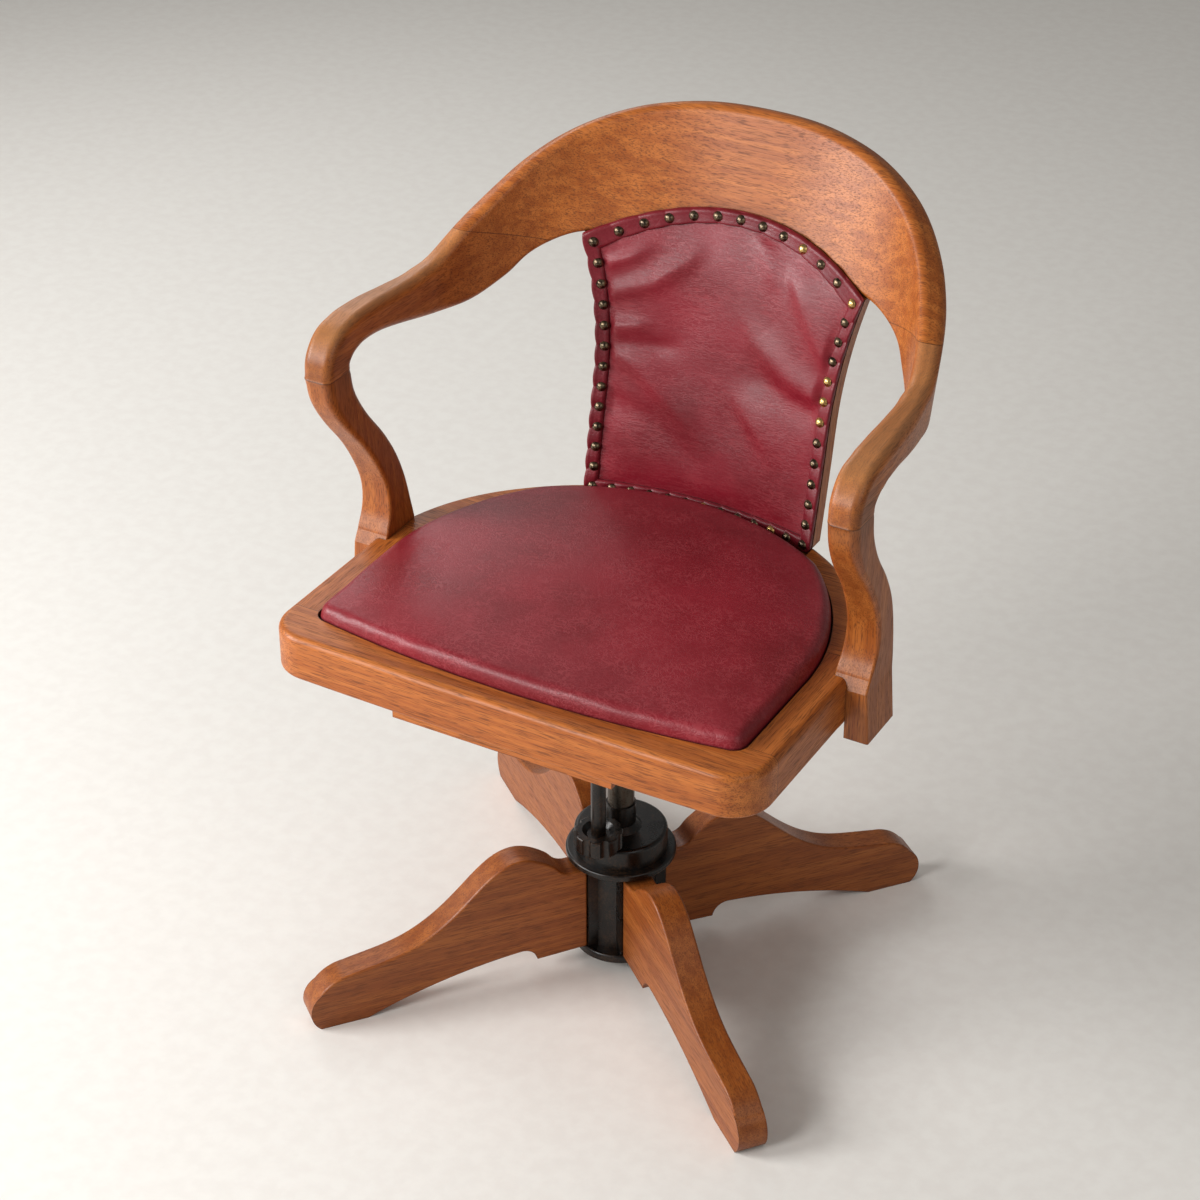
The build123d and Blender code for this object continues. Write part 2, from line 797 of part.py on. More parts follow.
# Legs, tenoned into the hub
leg_turns = [radians(base_yaw + i * 360 / leg_count) for i in range(leg_count)]
leg_frames = [
    Plane(origin=(0, 0, 0), x_dir=(cos(turn), sin(turn), 0), z_dir=(sin(turn), -cos(turn), 0))
    for turn in leg_turns
]
leg_names = ("leg_back_left", "leg_back_right", "leg_front_right", "leg_front_left")
leg_solids = []
for frame, name in zip(leg_frames, leg_names):
    with BuildPart() as leg:
        with BuildSketch(frame):
            with BuildLine():
                Line((leg_root, 24), (101, 22))
                ThreePointArc((101, 22), (106, 32), (119, 37))
                ThreePointArc((119, 37), (205, 25), (290, 0))
                Line((290, 0), (341, 0))
                ThreePointArc((341, 0), (350.5, 19), (340, 42))
                ThreePointArc((340, 42), (326, 55), (306, 61))
                Spline(
                    (306, 61),
                    (268, 67.5),
                    (240, 75),
                    (200, 98),
                    (174, 121),
                    (152, 141),
                    (135, 151.5),
                    (117, 155),
                    (97, 149),
                    (82, 139),
                    (76, 133),
                    tangents=((-1, 0.2), (-0.75, -1)),
                )
                ThreePointArc((76, 133), (69, 126.5), (60, 124))
                Line((60, 124), (leg_root, 124))
                Line((leg_root, 124), (leg_root, 24))
            make_face()
        extrude(amount=leg_width / 2, both=True)
        rim = leg.edges().filter_by(lambda e: e.center().Z > 41 and e.center().length > 75)
        rim = [e for e in rim if abs((e.center() - frame.origin).dot(frame.z_dir)) > leg_width / 2 - 0.01]
        fillet(rim, leg_edge)
        with BuildSketch(frame):
            with Locations(((leg_tenon_root + leg_root) / 2, (leg_tenon_low + leg_tenon_high) / 2)):
                Rectangle(leg_root - leg_tenon_root, leg_tenon_high - leg_tenon_low)
        extrude(amount=leg_tenon_width / 2, both=True)
    keep(leg.part, name)
    leg_solids.append(leg.part)

# Cast hub that the legs stand against
with BuildPart() as hub:
    with Locations((0, 0, flange_low)):
        Cylinder(flange_radius, hub_low - flange_low, align=(Align.CENTER, Align.CENTER, Align.MIN))
    fillet(hub.edges().group_by(Axis.Z)[-1], 3)
    with Locations((0, 0, hub_low - 1)):
        Cylinder(hub_radius, hub_high - hub_low + 1, align=(Align.CENTER, Align.CENTER, Align.MIN))
    for frame in leg_frames:
        with BuildSketch(frame):
            with Locations((leg_root / 2, (hub_low + hub_pad_high) / 2)):
                Rectangle(leg_root, hub_pad_high - hub_low)
        extrude(amount=hub_pad_width / 2, both=True)
    with Locations((0, 0, flange_low - 1)):
        Cylinder(
            spindle_radius + running_gap,
            hub_high,
            align=(Align.CENTER, Align.CENTER, Align.MIN),
            mode=Mode.SUBTRACT,
        )
    for solid in leg_solids:
        add(solid, mode=Mode.SUBTRACT)
keep(hub.part, "hub")

with BuildPart() as spindle:
    with Locations((0, 0, spindle_low)):
        Cylinder(spindle_radius, spindle_high - spindle_low, align=(Align.CENTER, Align.CENTER, Align.MIN))
    chamfer(spindle.edges().group_by(Axis.Z)[-1], 1.5)
keep(spindle.part, "spindle")

# Height nut: brim, crown and neck turned round the spindle
with BuildPart() as height_nut:
    with BuildSketch(Plane.XZ) as nut_profile:
        with BuildLine():
            Polyline(
                (spindle_radius + running_gap, collar_low),
                (brim_radius, collar_low),
                (brim_radius, brim_high),
                (crown_radius, brim_high),
                (crown_radius, crown_high),
                (neck_radius + 6, crown_high),
                (neck_radius, crown_high + 6),
                (neck_radius, neck_high),
                (spindle_radius + running_gap, neck_high),
                close=True,
            )
        make_face()
    revolve(axis=Axis.Z)
    rings = height_nut.edges().filter_by(GeomType.CIRCLE)
    fillet(rings.filter_by(lambda e: abs(e.radius - brim_radius) < 0.01), 2.5)
    rings = height_nut.edges().filter_by(GeomType.CIRCLE)
    fillet(rings.filter_by(lambda e: abs(e.radius - crown_radius) < 0.01).sort_by(Axis.Z)[-1], 4)
keep(height_nut.part, "height_nut")

# Spider that swivels on the spindle and carries the tilt pin
with BuildPart() as spider:
    with Locations((0, 0, spider_low)):
        Cylinder(spider_boss_radius, spider_cap - spider_low, align=(Align.CENTER, Align.CENTER, Align.MIN))
    with Locations((0, 0, spider_cap - 8)):
        Box(
            2 * head_half_x,
            2 * head_half_y,
            head_high - spider_cap + 8,
            align=(Align.CENTER, Align.CENTER, Align.MIN),
        )
    fillet(spider.edges().filter_by(Axis.X).sort_by(Axis.Z)[-2:], 14)
    with Locations((0, rod_y, lug_low)):
        Cylinder(lug_radius, lug_high - lug_low, align=(Align.CENTER, Align.CENTER, Align.MIN))
    with Locations((0, rod_y / 2, lug_low)):
        Box(18, -rod_y, lug_high - lug_low, align=(Align.CENTER, Align.CENTER, Align.MIN))
    with Locations((0, 0, spider_low - 1)):
        Cylinder(
            spindle_radius + running_gap,
            spindle_high + 0.5 - spider_low + 1,
            align=(Align.CENTER, Align.CENTER, Align.MIN),
            mode=Mode.SUBTRACT,
        )
    with Locations((0, rod_y, lug_low - 1)):
        Cylinder(
            rod_neck_radius + running_gap,
            lug_high - lug_low + 2,
            align=(Align.CENTER, Align.CENTER, Align.MIN),
            mode=Mode.SUBTRACT,
        )
    with Locations(Plane(origin=(0, 0, pin_z), z_dir=(1, 0, 0))):
        Cylinder(pin_radius, 4 * head_half_x, mode=Mode.SUBTRACT)
keep(spider.part, "spider")

with BuildPart() as tilt_pin:
    with Locations(Plane(origin=(0, 0, pin_z), z_dir=(1, 0, 0))):
        Cylinder(pin_radius, 2 * pin_half_length)
    chamfer(tilt_pin.edges().filter_by(GeomType.CIRCLE), 1)
keep(tilt_pin.part, "tilt_pin")

# Seat iron: plate, two cheeks on the pin and a front bar for the spring
with BuildPart() as seat_iron:
    with Locations((0, (iron_plate_front + iron_plate_back) / 2, iron_plate_z)):
        Box(
            2 * iron_plate_half_x,
            iron_plate_back - iron_plate_front,
            board_bottom - iron_plate_z,
            align=(Align.CENTER, Align.CENTER, Align.MIN),
        )
    fillet(seat_iron.edges().filter_by(Axis.Z), 10)
    for side in (-1, 1):
        with BuildSketch(Plane(origin=(side * cheek_inner, 0, 0), x_dir=(0, 1, 0), z_dir=(1, 0, 0))):
            with BuildLine():
                Polyline(
                    (rod_y - bar_half_y, bar_low),
                    (rod_y + bar_half_y, bar_low),
                    (-12, pin_z - 19),
                    (12, pin_z - 19),
                    (24, pin_z),
                    (70, iron_plate_z + 1),
                    (rod_y - bar_half_y - 22, iron_plate_z + 1),
                    close=True,
                )
            make_face()
            with Locations((0, pin_z)):
                Circle(pin_radius + running_gap, mode=Mode.SUBTRACT)
        extrude(amount=side * cheek_thickness)
    with Locations((0, rod_y, bar_low)):
        Box(
            2 * cheek_inner + 2,
            2 * bar_half_y,
            bar_high - bar_low,
            align=(Align.CENTER, Align.CENTER, Align.MIN),
        )
    with BuildSketch(Plane.XY.offset(bar_low - 1)):
        with Locations((0, rod_y)):
            Rectangle(bar_slot_x, bar_slot_y)
    extrude(amount=bar_high - bar_low + 2, mode=Mode.SUBTRACT)
    add(iron_screws.part, mode=Mode.SUBTRACT)
keep(seat_iron.part, "seat_iron")

# Tension rod, its hand-wheel, nut and spring
with BuildPart() as tension_rod:
    shoulder_z = lug_low - rod_seat_gap
    with Locations((0, rod_y, rod_low)):
        Cylinder(rod_radius, shoulder_z - rod_low, align=(Align.CENTER, Align.CENTER, Align.MIN))
        Cylinder(rod_neck_radius, rod_high - rod_low, align=(Align.CENTER, Align.CENTER, Align.MIN))
    chamfer(tension_rod.edges().group_by(Axis.Z)[-1], 1)
keep(tension_rod.part, "tension_rod")

with BuildPart() as hand_wheel:
    with Locations((0, rod_y, wheel_low)):
        Cylinder(wheel_radius, wheel_high - wheel_low, align=(Align.CENTER, Align.CENTER, Align.MIN))
    fillet(hand_wheel.edges().group_by(Axis.Z)[0], 4)
    fillet(hand_wheel.edges().group_by(Axis.Z)[-1], 2)
    with Locations((0, rod_y, wheel_high)):
        Cone(
            wheel_dish_radius - 5,
            wheel_dish_radius,
            wheel_dish_depth,
            align=(Align.CENTER, Align.CENTER, Align.MAX),
            mode=Mode.SUBTRACT,
        )
    with Locations((0, rod_y, wheel_low - 1)):
        with PolarLocations(wheel_radius + 1.5, wheel_scallops):
            Cylinder(
                wheel_scallop_radius,
                wheel_high - wheel_low + 2,
                align=(Align.CENTER, Align.CENTER, Align.MIN),
                mode=Mode.SUBTRACT,
            )
    add(tension_rod.part, mode=Mode.SUBTRACT)
keep(hand_wheel.part, "hand_wheel")

with BuildPart() as tension_nut:
    with Locations((0, rod_y, nut_low)):
        Box(
            2 * cheek_inner - 5,
            2 * bar_half_y + 8,
            nut_high - nut_low,
            align=(Align.CENTER, Align.CENTER, Align.MIN),
        )
    fillet(tension_nut.edges().filter_by(Axis.Z), 5)
    with Locations((0, rod_y, nut_low - 1)):
        Cylinder(
            rod_neck_radius + running_gap,
            nut_high - nut_low + 2,
            align=(Align.CENTER, Align.CENTER, Align.MIN),
            mode=Mode.SUBTRACT,
        )
keep(tension_nut.part, "tension_nut")

spring_low = bar_high + spring_wire / 2 + 0.3
spring_high = nut_low - spring_wire / 2 - 0.3
with BuildPart() as tension_spring:
    with BuildLine():
        coil = Helix(
            pitch=(spring_high - spring_low) / spring_turns,
            height=spring_high - spring_low,
            radius=spring_radius,
            center=(0, rod_y, spring_low),
        )
    with BuildSketch(coil ^ 0):
        Circle(spring_wire / 2)
    sweep()
keep(tension_spring.part, "tension_spring")
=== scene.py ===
"""Looks of the oak captain's chair: varnished oak, burgundy leather, brass nails, black iron.

Metres, +Z up, the sitter faces -Y. Shape numbers of the back are in millimetres.
"""
from math import asin, cos, exp, hypot, pi, radians, sin, sqrt

import bmesh
import bpy
from mathutils import Matrix, Vector, noise


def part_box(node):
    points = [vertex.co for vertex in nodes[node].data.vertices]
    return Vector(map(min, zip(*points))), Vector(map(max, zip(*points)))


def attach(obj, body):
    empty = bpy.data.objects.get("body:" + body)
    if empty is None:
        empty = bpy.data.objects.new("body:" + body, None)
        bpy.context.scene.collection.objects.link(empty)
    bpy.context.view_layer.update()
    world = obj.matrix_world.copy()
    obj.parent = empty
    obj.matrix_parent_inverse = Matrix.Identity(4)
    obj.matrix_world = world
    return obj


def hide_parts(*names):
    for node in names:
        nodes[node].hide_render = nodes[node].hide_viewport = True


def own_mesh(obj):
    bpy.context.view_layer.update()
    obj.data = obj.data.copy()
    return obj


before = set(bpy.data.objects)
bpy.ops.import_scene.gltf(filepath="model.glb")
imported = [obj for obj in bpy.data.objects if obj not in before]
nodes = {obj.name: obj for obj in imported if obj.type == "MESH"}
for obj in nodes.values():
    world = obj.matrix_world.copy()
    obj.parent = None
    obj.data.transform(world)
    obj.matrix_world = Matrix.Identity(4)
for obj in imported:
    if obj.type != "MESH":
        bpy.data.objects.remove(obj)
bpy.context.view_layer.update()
mm = 0.001


def linear(code):
    """Linear colour of an sRGB hex code."""
    channels = [int(code[i:i + 2], 16) / 255 for i in (1, 3, 5)]
    bent = [c / 12.92 if c <= 0.04045 else ((c + 0.055) / 1.055) ** 2.4 for c in channels]
    return (*bent, 1.0)


def add(tree, kind, inputs=None, output=0, **options):
    """Adds a shader node, sets its options, fills its inputs with values or links, gives an output."""
    made = tree.nodes.new("ShaderNode" + kind)
    for name, value in options.items():
        setattr(made, name, value)
    for key, value in (inputs or {}).items():
        if isinstance(value, bpy.types.NodeSocket):
            tree.links.new(value, made.inputs[key])
        else:
            made.inputs[key].default_value = value
    return made.outputs[output]


def new_material(name):
    """A material with its node tree and the piece's own coordinates."""
    made = bpy.data.materials.new(name)
    made.use_nodes = True
    tree = made.node_tree
    return made, tree, add(tree, "TexCoord", output="Object")


# Every change from one value to another is gradual
gradual = {"interpolation_type": "SMOOTHSTEP"}


def figure(tree, where, size, turn=(0, 0, 0), detail=3.0, rough=0.55, bend=0.0):
    """Natural figure, such as grain or blotches, of a size in millimetres along turned directions."""
    laid = add(
        tree,
        "Mapping",
        {"Vector": where, "Rotation": turn, "Scale": [mm * length for length in size]},
        vector_type="TEXTURE",
    )
    return add(
        tree,
        "TexNoise",
        {"Vector": laid, "Scale": 1.0, "Detail": detail, "Roughness": rough, "Distortion": bend},
        "Fac",
    )


def stain(tree, colour, code, value, low, high, most=1.0):
    """Colour that moves toward a hex code, by at most a share, as a value goes from low to high."""
    amount = add(
        tree,
        "MapRange",
        {"Value": value, "From Min": low, "From Max": high, "To Max": most},
        **gradual,
    )
    return add(tree, "Mix", {0: amount, 6: colour, 7: linear(code)}, 2, data_type="RGBA")


def polish(tree, colour, value, smoothest, roughest, relief=None):
    """Gives a material its colour, its sheen and its relief.

    Smoothest and roughest each hold a level of the value and the roughness there.
    """
    low, least = smoothest
    high, most = roughest
    rough = add(
        tree,
        "MapRange",
        {"Value": value, "From Min": low, "From Max": high, "To Min": least, "To Max": most},
        **gradual,
    )
    shader = tree.nodes["Principled BSDF"]
    tree.links.new(colour, shader.inputs["Base Color"])
    tree.links.new(rough, shader.inputs["Roughness"])
    if relief:
        tree.links.new(relief, shader.inputs["Normal"])
    return shader


# Where hands darken the arms and posts: from here, and fully by there
hand_y = {"From Min": -0.048, "From Max": -0.098}
hand_z = {"From Min": 0.56, "From Max": 0.68}


def oak(name, turn, old_varnish_and_shade=0.0, handled=False):
    """Varnished oak: warm orange brown, darker grain bands and fine dark pores along the piece.

    The third argument darkens it toward dark brown, from 0 to 1: partly old varnish, partly painted
    shade, most on the legs under the seat. Handled adds dark fronts, as hands leave on the arms,
    and pale tops that are partly rubbed wear and partly painted highlight from light above.
    """
    made, tree, where = new_material(name)
    own = add(tree, "ObjectInfo", output="Random")
    moved = add(tree, "VectorMath", {0: where, 1: own}, operation="ADD")
    bands = figure(tree, moved, (340, 9, 9), turn, 3.0, 0.55, 0.15)
    # Real oak pores are about 0.3 mm wide, drawn coarser here to show at this distance
    pores = figure(tree, moved, (20, 1, 1), turn, 2.0, 0.6)
    streaks = figure(tree, moved, (90, 2.2, 2.2), turn, 3.0, 0.6)
    mottle = figure(tree, moved, (110, 60, 60), turn, 2.0, 0.5)
    colour = stain(tree, linear("#A3561F"), "#BE6E2F", bands, 0.34, 0.66)
    colour = stain(tree, colour, "#7E4015", mottle, 0.40, 0.75, 0.25)
    colour = stain(tree, colour, "#783A12", streaks, 0.44, 0.70, 0.40)
    colour = stain(tree, colour, "#4E250C", pores, 0.50, 0.64, 0.60)
    # Partly old varnish and partly painted shade: the colour goes toward dark brown, most on the legs
    # under the seat
    dark = add(tree, "MapRange", {"Value": bands, "To Min": old_varnish_and_shade, "To Max": 0.8 * old_varnish_and_shade}, **gradual)
    colour = add(tree, "Mix", {0: dark, 6: colour, 7: linear("#5E2B0A")}, 2, data_type="RGBA")
    if handled:
        y = add(tree, "SeparateXYZ", {0: where}, "Y")
        z = add(tree, "SeparateXYZ", {0: where}, "Z")
        front = add(tree, "MapRange", {"Value": y, **hand_y}, **gradual)
        high = add(tree, "MapRange", {"Value": z, **hand_z}, **gradual)
        both = add(tree, "Math", {0: front, 1: high}, operation="MULTIPLY")
        patch = add(tree, "Math", {0: both, 1: mottle}, operation="MULTIPLY")
        colour = stain(tree, colour, "#5A361F", patch, 0.25, 0.62, 0.50)
        # Pale tops, partly rubbed wear and partly painted highlight: faces turned up toward the light are
        # lighter
        top_wear_and_highlight = add(tree, "SeparateXYZ", {0: add(tree, "TexCoord", output="Normal")}, "Z")
        colour = stain(tree, colour, "#B98658", top_wear_and_highlight, 0.30, 0.95, 0.45)
    # Painted shade: the oak is darkened toward deep brown in crevices and between parts, where shade
    # falls
    crevice_shade = add(tree, "AmbientOcclusion", {"Distance": 12 * mm}, "AO", samples=8)
    colour = stain(tree, colour, "#4A2A15", crevice_shade, 0.75, 0.25, 0.60)
    # A sharp edge of a piece is a joint line, dark with old polish
    soft = add(tree, "Bevel", {"Radius": 1.4 * mm}, samples=6)
    flat = add(tree, "NewGeometry", output="Normal")
    turned = add(tree, "VectorMath", {0: soft, 1: flat}, "Value", operation="DOT_PRODUCT")
    colour = stain(tree, colour, "#3A1E0C", turned, 0.99, 0.88, 0.85)
    relief = {"Height": pores, "Strength": 0.25, "Distance": 0.3 * mm}
    bump = add(tree, "Bump", relief, invert=True)
    shader = polish(tree, colour, pores, (0.45, 0.40), (0.68, 0.55), bump)
    shader.inputs["Specular IOR Level"].default_value = 0.32
    shader.inputs["Coat Weight"].default_value = 0.10
    shader.inputs["Coat Roughness"].default_value = 0.26
    return made


def leather(name, spacing, pale, deep, light):
    """Burgundy leather: satin sheen, and fine wandering creases that are paler than the rest.

    Spacing is the creases' distance in millimetres along x, y and z, pale how far they lighten,
    and deep and light are the two reds that cloud the skin.
    """
    made, tree, where = new_material(name)
    cloud = figure(tree, where, (90, 90, 90), detail=2.0)
    patches = figure(tree, where, (50, 40, 40), detail=2.0)
    # Real leather grain is about 0.5 mm, drawn coarser here to show at this distance
    grain = figure(tree, where, (1.6, 1.3, 1.1), detail=2.0)
    lines = []
    for scale in (1.0, 0.45):
        field = figure(tree, where, [scale * d for d in spacing], detail=1.5, rough=0.5, bend=1.0)
        level = add(tree, "Math", {0: field, 1: 0.5}, operation="SUBTRACT")
        off = add(tree, "Math", {0: level}, operation="ABSOLUTE")
        lines.append(add(tree, "MapRange", {"Value": off, "From Min": 0.055, "From Max": 0.0}, **gradual))
    both = add(tree, "Math", {0: lines[0], 1: lines[1]}, operation="MAXIMUM")
    use = {"Value": patches, "From Min": 0.32, "From Max": 0.68, "To Min": 0.45}
    worn = add(tree, "MapRange", use, **gradual)
    creases = add(tree, "Math", {0: both, 1: worn}, operation="MULTIPLY")
    colour = stain(tree, linear(deep), light, cloud, 0.30, 0.70)
    colour = stain(tree, colour, "#A9484E", creases, 0.0, 1.0, pale)
    # Painted shade: the leather is darkened toward near black in creases, round the nails and along the
    # strip's edges
    crevice_shade = add(tree, "AmbientOcclusion", {"Distance": 5 * mm}, "AO", samples=8)
    colour = stain(tree, colour, "#2E080C", crevice_shade, 0.80, 0.35, 0.80)
    height = add(tree, "Math", {0: creases, 1: -0.7, 2: grain}, operation="MULTIPLY_ADD")
    bump = add(tree, "Bump", {"Height": height, "Strength": 0.30, "Distance": 0.4 * mm})
    shader = polish(tree, colour, grain, (0.3, 0.35), (0.7, 0.45), bump)
    shader.inputs["Specular IOR Level"].default_value = 0.40
    return made


def worn_metal(name, skin, wear, amount, metallic, rough):
    """Metal, bare or lacquered, with a second, worn colour in rubbed patches."""
    made, tree, where = new_material(name)
    patches = figure(tree, where, (22, 22, 22), detail=5.0, rough=0.65)
    # Pits and casting grit are under 1 mm, drawn coarser here to show at this distance
    specks = figure(tree, where, (2.2, 2.2, 2.2), detail=3.0)
    rubbed = add(tree, "Math", {0: patches, 1: specks}, operation="MULTIPLY")
    colour = stain(tree, linear(skin), wear, rubbed, 0.22, 0.40, amount)
    bump = add(tree, "Bump", {"Height": specks, "Strength": 0.12, "Distance": 0.3 * mm})
    shader = polish(tree, colour, patches, (0.3, rough), (0.7, rough + 0.16), bump)
    shader.inputs["Metallic"].default_value = metallic
    shader.inputs["Specular IOR Level"].default_value = 0.42
    return made


# Bright nail heads: x, z and reach of each group
rubbed_nails = [
    (0.125, 0.610, 0.027),
    (0.145, 0.718, 0.009),
    (0.075, 0.747, 0.009),
    (0.082, 0.459, 0.009),
    (0.000, 0.459, 0.009),
]


def nail_brass(name):
    """Old brass nail heads: most browned dark, a few rubbed bright on the sitter's left."""
    made, tree, where = new_material(name)
    x = add(tree, "SeparateXYZ", {0: where}, "X")
    z = add(tree, "SeparateXYZ", {0: where}, "Z")
    spot = add(tree, "CombineXYZ", {"X": x, "Z": z})
    tarnish = figure(tree, where, (4, 4, 4), detail=3.0)
    colour = stain(tree, linear("#4A4036"), "#7A6A54", tarnish, 0.35, 0.65)
    for rubbed_x, rubbed_z, reach in rubbed_nails:
        centre = (rubbed_x, 0, rubbed_z)
        away = add(tree, "VectorMath", {0: spot, 1: centre}, "Value", operation="DISTANCE")
        colour = stain(tree, colour, "#C2A468", away, reach + 2 * mm, reach)
    shader = polish(tree, colour, tarnish, (0.3, 0.24), (0.7, 0.36))
    shader.inputs["Metallic"].default_value = 1.0
    return made


# Grain directions, as turns from X
along_x = (0, 0, 0)
along_y = (0, 0, radians(90))
along_z = (0, radians(90), 0)
first_legs = (0, 0, radians(51))
second_legs = (0, 0, radians(141))

oak_x = oak("varnished oak, grain across", along_x)
oak_y = oak("varnished oak, grain front to back", along_y)
oak_z = oak("varnished oak, upright grain", along_z)
# The third number darkens the oak: partly old varnish, partly painted shade, most on the legs under the
# seat
oak_arm = oak("varnished oak, handled arm", along_y, 0.05, True)
oak_post = oak("varnished oak, handled post", along_z, 0.30, True)
oak_first_legs = oak("varnished oak, first pair of legs", first_legs, 0.52)
oak_second_legs = oak("varnished oak, second pair of legs", second_legs, 0.52)
seat_leather = leather("burgundy seat leather", (12, 9, 9), 0.38, "#74151F", "#881E2A")
back_leather = leather("burgundy back leather", (30, 9, 5), 0.30, "#6E0F1B", "#841827")
band_leather = leather("burgundy strip leather", (12, 10, 10), 0.12, "#640F1B", "#761623")
brass = nail_brass("antique brass")

# Japanned iron is a black gloss rubbed through to brown, worn steel a dull grey with brown spots
iron = worn_metal("black japanned iron", "#090706", "#3A281A", 0.65, 0.0, 0.25)
steel = worn_metal("worn steel", "#564F47", "#3A2B1E", 0.8, 1.0, 0.34)

finishes = {
    oak_x: ("crest_rail", "front_rail", "back_rail", "seat_board", "seat_panel"),
    oak_y: ("side_rail_left", "side_rail_right"),
    oak_z: ("back_splat", "knuckle_dowels"),
    oak_arm: ("arm_left", "arm_right"),
    oak_post: ("post_left", "post_right"),
    oak_first_legs: ("leg_back_left", "leg_front_right"),
    oak_second_legs: ("leg_back_right", "leg_front_left"),
    brass: ("dome_nails",),
    iron: ("hub", "height_nut", "spider", "seat_iron", "hand_wheel", "tension_rod"),
    steel: ("spindle", "tilt_pin", "tension_nut", "iron_screws", "board_screws", "post_screws"),
}
for finish, names in finishes.items():
    for name in names:
        nodes[name].data.materials.clear()
        nodes[name].data.materials.append(finish)


def place(name, body, finish, mesh):
    """A finished mesh as a named piece that rides on a body."""
    made = bpy.data.objects.new(name, mesh)
    bpy.context.scene.collection.objects.link(made)
    mesh.materials.clear()
    mesh.materials.append(finish)
    mesh.polygons.foreach_set("use_smooth", [True] * len(mesh.polygons))
    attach(made, body)
    return made


def rounded(made):
    """Splits a piece's faces once more, so that its folds are round."""
    finer = made.modifiers.new("finer", "SUBSURF")
    finer.levels = 1
    finer.render_levels = 1


def settled(made):
    """Mesh of an object with its modifiers applied."""
    graph = bpy.context.evaluated_depsgraph_get()
    return bpy.data.meshes.new_from_object(made.evaluated_get(graph))


def closed(name, work):
    """Mesh of a worked form, with its faces turned outward."""
    bmesh.ops.recalc_face_normals(work, faces=work.faces)
    mesh = bpy.data.meshes.new(name)
    work.to_mesh(mesh)
    work.free()
    return mesh


def joined(work, rings):
    """Faces from each ring of points to the next."""
    for here, after in zip(rings, rings[1:]):
        for i in range(len(here)):
            n = (i + 1) % len(here)
            work.faces.new([here[i], after[i], after[n], here[n]])


# Drop-in seat: the cushion is swelled by cloth pressure, held where the frame grips it
frame_top = 0.456
cushion_held = 0.4580
cushion_free = 0.4700
crown_height = 0.024
crown_centre_y = -0.0334
crown_radius = 2.2
rim_fall = 0.015
thinnest_dome = 0.003
weld_reach = 0.05 * mm
cushion_mesh = 5 * mm
stuffing_pressure = 4
leather_stiffness = 20
leather_bending = 5
swell_frames = 20
swell_limit = 0.0030
evening_rounds = 30


def fuller(point):
    """Raises the cushion's rim and corners, which the plain dome leaves thin."""
    fall = (point.x**2 + (point.y - crown_centre_y) ** 2) / (2 * crown_radius)
    want = crown_height - rim_fall * (1 - exp(-fall / rim_fall))
    if point.z > frame_top:
        dome = max(crown_height - fall, thinnest_dome)
        point.z = frame_top + (point.z - frame_top) * want / dome


def evened(mesh, moves):
    """Moves averaged with those of the neighbours, so the swelling has no ripples."""
    near = [[] for _ in moves]
    for one in mesh.edges:
        first, second = one.vertices
        near[first].append(second)
        near[second].append(first)
    for _ in range(evening_rounds):
        moves = [
            sum((moves[k] for k in around), move) / (len(around) + 1)
            for move, around in zip(moves, near)
        ]
    return moves


def cushion_blank():
    """The solid cushion in even faces, with a fuller rim."""
    rough = bpy.data.objects.new("cushion_rough", nodes["seat_cushion"].data.copy())
    bpy.context.scene.collection.objects.link(rough)
    weld = rough.modifiers.new("weld", "WELD")
    weld.merge_threshold = weld_reach
    remesh = rough.modifiers.new("voxels", "REMESH")
    remesh.mode = "VOXEL"
    remesh.voxel_size = cushion_mesh
    wrap = rough.modifiers.new("wrap", "SHRINKWRAP")
    wrap.target = nodes["seat_cushion"]
    mesh = settled(rough)
    bpy.data.objects.remove(rough)
    for vertex in mesh.vertices:
        fuller(vertex.co)
    return mesh


def stuffed(mesh):
    """The cushion swelled as cloth, no point by more than the swell limit."""
    soft = bpy.data.objects.new("cushion_soft", mesh)
    bpy.context.scene.collection.objects.link(soft)
    held = soft.vertex_groups.new(name="held")
    for vertex in mesh.vertices:
        rise = (vertex.co.z - cushion_held) / (cushion_free - cushion_held)
        held.add([vertex.index], 1 - min(max(rise, 0), 1), "REPLACE")
    cloth = soft.modifiers.new("swell", "CLOTH")
    cloth.settings.vertex_group_mass = "held"
    cloth.settings.use_pressure = True
    cloth.settings.uniform_pressure_force = stuffing_pressure
    cloth.settings.effector_weights.gravity = 0
    cloth.settings.tension_stiffness = leather_stiffness
    cloth.settings.compression_stiffness = leather_stiffness
    cloth.settings.bending_stiffness = leather_bending
    cloth.point_cache.frame_end = swell_frames
    for step in range(1, swell_frames + 1):
        bpy.context.scene.frame_set(step)
    swelled = settled(soft)
    moves = []
    for vertex, before in zip(swelled.vertices, mesh.vertices):
        move = vertex.co - before.co
        moves.append(move * min(1, swell_limit / max(move.length, 1e-9)))
    for vertex, before, move in zip(swelled.vertices, mesh.vertices, evened(mesh, moves)):
        vertex.co = before.co + move
    bpy.data.objects.remove(soft)
    bpy.context.scene.frame_set(1)
    return swelled


def seat_form():
    mesh = cushion_blank()
    return stuffed(mesh)


cushion = place("leather_seat", "seat", seat_leather, seat_form())
smooth = cushion.modifiers.new("smooth", "SMOOTH")
smooth.factor = 0.5
smooth.iterations = 3
rounded(cushion)
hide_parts("seat_cushion")

# Back board, in millimetres: its face leans back, and is more curved at the top
middle_y = 13.4
board_foot_z = 455
board_rise = 301
board_half = 190.0
foot_curve = 453
head_curve = 315
board_y = 178.5
board_lean = 0.2326

